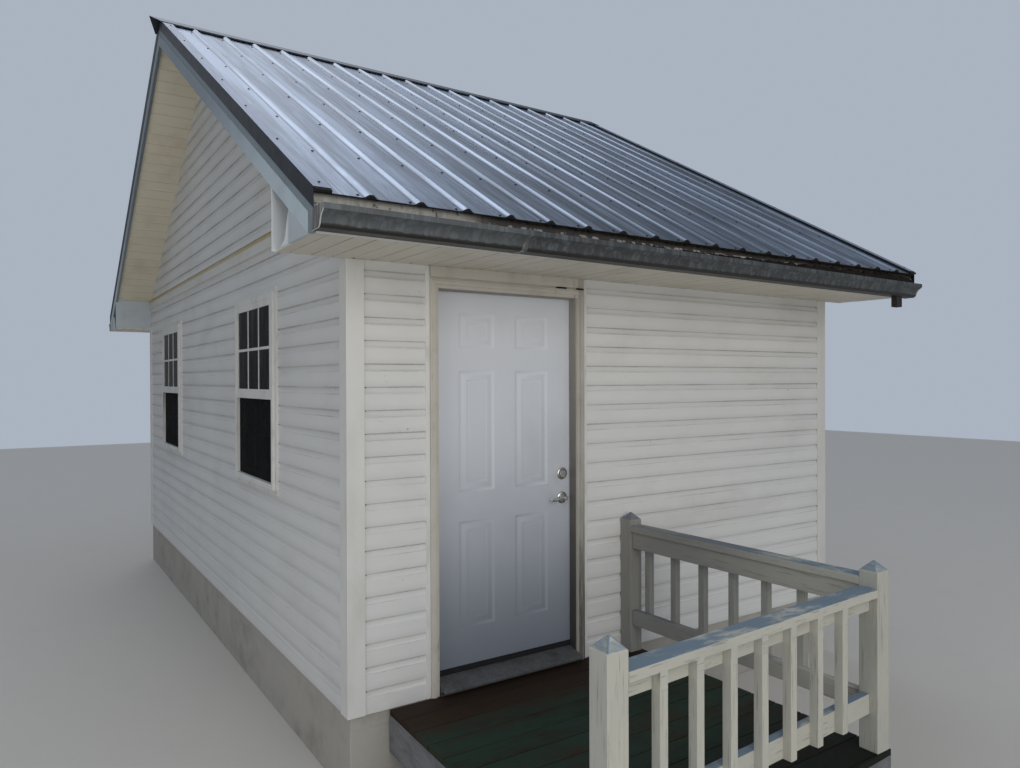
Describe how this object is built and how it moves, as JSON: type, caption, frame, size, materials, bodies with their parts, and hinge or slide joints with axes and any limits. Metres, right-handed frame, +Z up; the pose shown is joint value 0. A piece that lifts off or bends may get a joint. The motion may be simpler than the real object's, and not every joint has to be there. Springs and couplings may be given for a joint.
{
  "type": "boathouse",
  "caption": "Small gabled boathouse with lap siding, a ribbed metal roof, a hinged front door with a lever, windows in the gable walls and a railed wooden deck.",
  "frame": {"origin": "on the underside of the front foundation wall, in the middle of the building's width and on the line of its front sheathing, at the height of the lowest ground", "axes": "+X to the right along the front wall seen from outside, +Y from the front to the back, +Z up"},
  "size_m": [4.451, 8.389, 4.8814],
  "materials": {
    "concrete": "matte",
    "wall_board": "matte",
    "raw_wood": "matte",
    "roof_metal": "satin",
    "dark_trim": "satin",
    "white_vinyl": "satin",
    "soffit_vinyl": "satin",
    "gutter_metal": "matte",
    "aged_casing": "matte",
    "sill_metal": "satin",
    "satin_steel": "satin",
    "door_paint": "satin",
    "window_vinyl": "satin",
    "window_glass": "gloss",
    "screen_mesh": "matte",
    "deck_wood": "matte",
    "rail_paint": "matte"
  },
  "bodies": {
    "building": {"foundation": "concrete", "floor_slab": "concrete", "front_wall_left": "wall_board", "front_wall_right": "wall_board", "front_wall_header": "wall_board", "back_wall": "wall_board", "left_wall": "wall_board", "right_wall": "wall_board", "ridge_board": "raw_wood", "rafters": "raw_wood", "roof_deck": "raw_wood", "roof_panels": "roof_metal", "ridge_cap": "dark_trim", "rake_trims": "dark_trim", "rake_boards": "white_vinyl", "eave_fascias": "white_vinyl", "eave_returns": "white_vinyl", "siding_front": "white_vinyl", "siding_back": "white_vinyl", "siding_left": "white_vinyl", "siding_right": "white_vinyl", "window_channels": "white_vinyl", "door_channels": "white_vinyl", "corner_posts": "white_vinyl", "rake_soffits": "soffit_vinyl", "eave_soffits": "soffit_vinyl", "gable_bands": "soffit_vinyl", "gutters": "gutter_metal", "door_jamb": "aged_casing", "door_casing": "aged_casing", "threshold": "sill_metal", "jamb_hinges": "satin_steel", "window_frames": "window_vinyl", "window_glass": "window_glass", "window_screens": "screen_mesh", "deck_boards": "deck_wood", "deck_frame": "rail_paint", "deck_supports": "rail_paint", "railing_posts": "rail_paint", "front_railing": "rail_paint", "side_railing": "rail_paint"},
    "door": {"door_slab": "door_paint", "door_hinges": "satin_steel", "lock_plates": "satin_steel"},
    "lever": {"door_lever": "satin_steel"}
  },
  "joints": [
    {"name": "door_swing", "type": "hinge", "parent": "building", "child": "door", "pos_m": [-1.4055, 0.107, 1.494], "axis": [0, 0, 1], "range_deg": [0, 100]},
    {"name": "lever_turn", "type": "hinge", "parent": "door", "child": "lever", "pos_m": [-0.549, 0.077, 1.345], "axis": [0, -1, 0], "range_deg": [0, 40], "stiffness_Nm_per_rad": 1.2}
  ]
}
